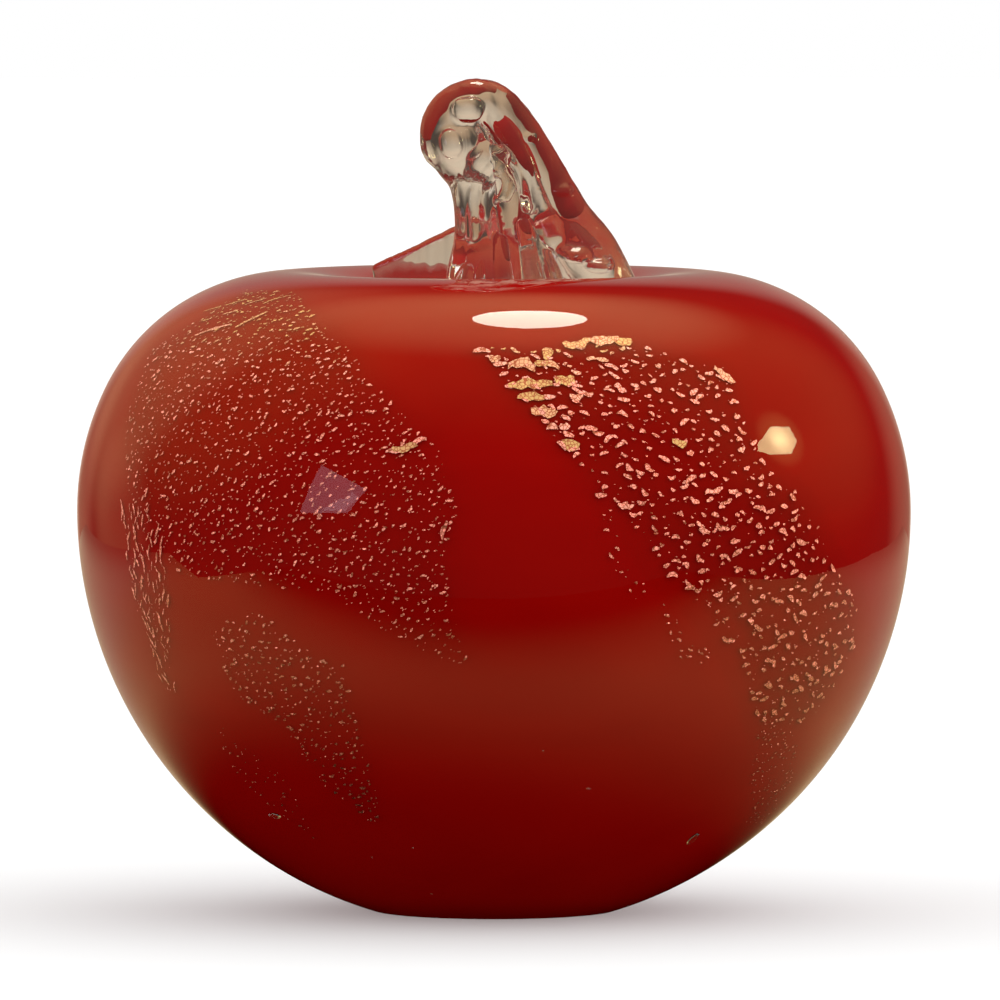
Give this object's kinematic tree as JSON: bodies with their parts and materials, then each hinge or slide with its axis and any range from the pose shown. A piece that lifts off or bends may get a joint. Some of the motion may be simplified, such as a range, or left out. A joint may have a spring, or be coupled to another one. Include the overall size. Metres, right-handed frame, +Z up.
{
  "type": "art glass apple",
  "caption": "Red blown glass apple ornament with crackled gold leaf under a clear skin, a folded clear glass stem in the dimple, and a ground flat foot to stand on.",
  "frame": {"origin": "centre of the ground flat foot, where the apple stands", "axes": "+Z up through the dimple, -Y towards the viewer of the picture, +X to the viewer's right"},
  "size_m": [0.096, 0.096, 0.0957],
  "materials": {
    "opal_glass": "opal white, unseen",
    "red_glass": "deep opaque red",
    "clear_glass": "fire polished, clear",
    "gold_leaf": "beaten, crackled, bright"
  },
  "bodies": {
    "root": {"inner_bubble": "opal_glass", "red_overlay": "red_glass", "clear_casing": "clear_glass", "stem": "clear_glass", "gold_leaf_left_fan": "gold_leaf", "gold_leaf_left_edge": "gold_leaf", "gold_leaf_lower_left": "gold_leaf", "gold_leaf_heel_left": "gold_leaf", "gold_leaf_right_band": "gold_leaf", "gold_leaf_right_tail": "gold_leaf", "gold_leaf_centre_streak": "gold_leaf", "gold_leaf_right_crumb": "gold_leaf", "gold_leaf_back_right_fan": "gold_leaf", "gold_leaf_back_band": "gold_leaf", "gold_leaf_back_left_fan": "gold_leaf", "gold_leaf_back_lower_right": "gold_leaf", "gold_leaf_back_lower_left": "gold_leaf"}
  },
  "joints": []
}
